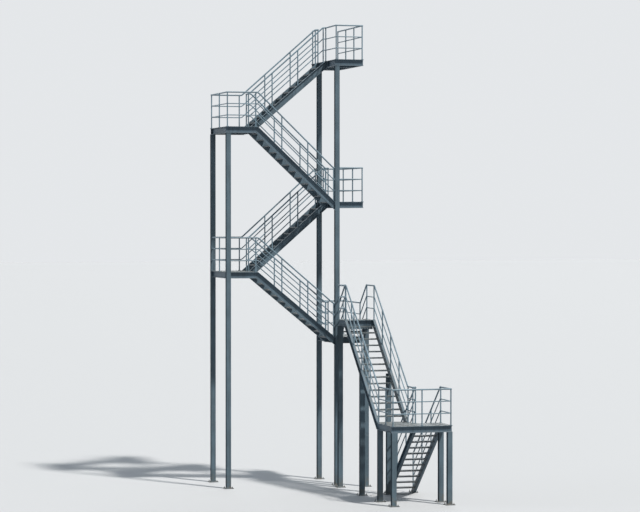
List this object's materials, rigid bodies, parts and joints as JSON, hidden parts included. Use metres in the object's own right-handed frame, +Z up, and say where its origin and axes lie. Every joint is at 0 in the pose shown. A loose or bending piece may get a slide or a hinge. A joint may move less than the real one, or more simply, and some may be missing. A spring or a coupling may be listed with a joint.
{
  "type": "fire escape stair tower",
  "caption": "Open steel fire escape: dog-leg flights between column pairs, with guarded landings, a link platform and a lower dog-leg stair down to the ground.",
  "frame": {"origin": "underside of the front left column's base plate, on the column's axis", "axes": "+Z up; +X to the right along the front of the tower; +Y from the front towards the building"},
  "size_m": [5.741, 9.405, 15.234],
  "materials": {
    "structure_paint": "weathered blue-grey paint",
    "guard_paint": "weathered blue-grey paint, a little lighter",
    "tread_paint": "worn and dusty blue-grey paint over checker plate",
    "base_plate_paint": "blue-grey paint with rust at the edges"
  },
  "bodies": {
    "root": {"front_left_column": "structure_paint", "back_left_column": "structure_paint", "front_right_column": "structure_paint", "back_right_column": "structure_paint", "long_flight_legs": "structure_paint", "link_platform_legs": "structure_paint", "turning_landing_legs": "structure_paint", "base_plates": "base_plate_paint", "top_landing_frame": "structure_paint", "upper_left_landing_frame": "structure_paint", "lower_right_landing_frame": "structure_paint", "lower_left_landing_frame": "structure_paint", "base_landing_frame": "structure_paint", "link_platform_frame": "structure_paint", "turning_landing_frame": "structure_paint", "tower_decks": "tread_paint", "link_platform_deck": "tread_paint", "turning_landing_deck": "tread_paint", "top_flight_stringers": "structure_paint", "upper_flight_stringers": "structure_paint", "middle_flight_stringers": "structure_paint", "lower_flight_stringers": "structure_paint", "link_flight_stringers": "structure_paint", "long_flight_stringers": "structure_paint", "ground_flight_stringers": "structure_paint", "top_flight_treads": "tread_paint", "upper_flight_treads": "tread_paint", "middle_flight_treads": "tread_paint", "lower_flight_treads": "tread_paint", "link_flight_treads": "tread_paint", "long_flight_treads": "tread_paint", "ground_flight_treads": "tread_paint", "top_flight_guards": "guard_paint", "upper_flight_guards": "guard_paint", "middle_flight_guards": "guard_paint", "lower_flight_guards": "guard_paint", "link_flight_guards": "guard_paint", "long_flight_guards": "guard_paint", "ground_flight_guards": "guard_paint", "top_landing_guards": "guard_paint", "upper_left_landing_guards": "guard_paint", "lower_right_landing_guards": "guard_paint", "lower_left_landing_guards": "guard_paint", "base_landing_guards": "guard_paint", "link_platform_guards": "guard_paint", "turning_landing_guards": "guard_paint"}
  },
  "joints": []
}
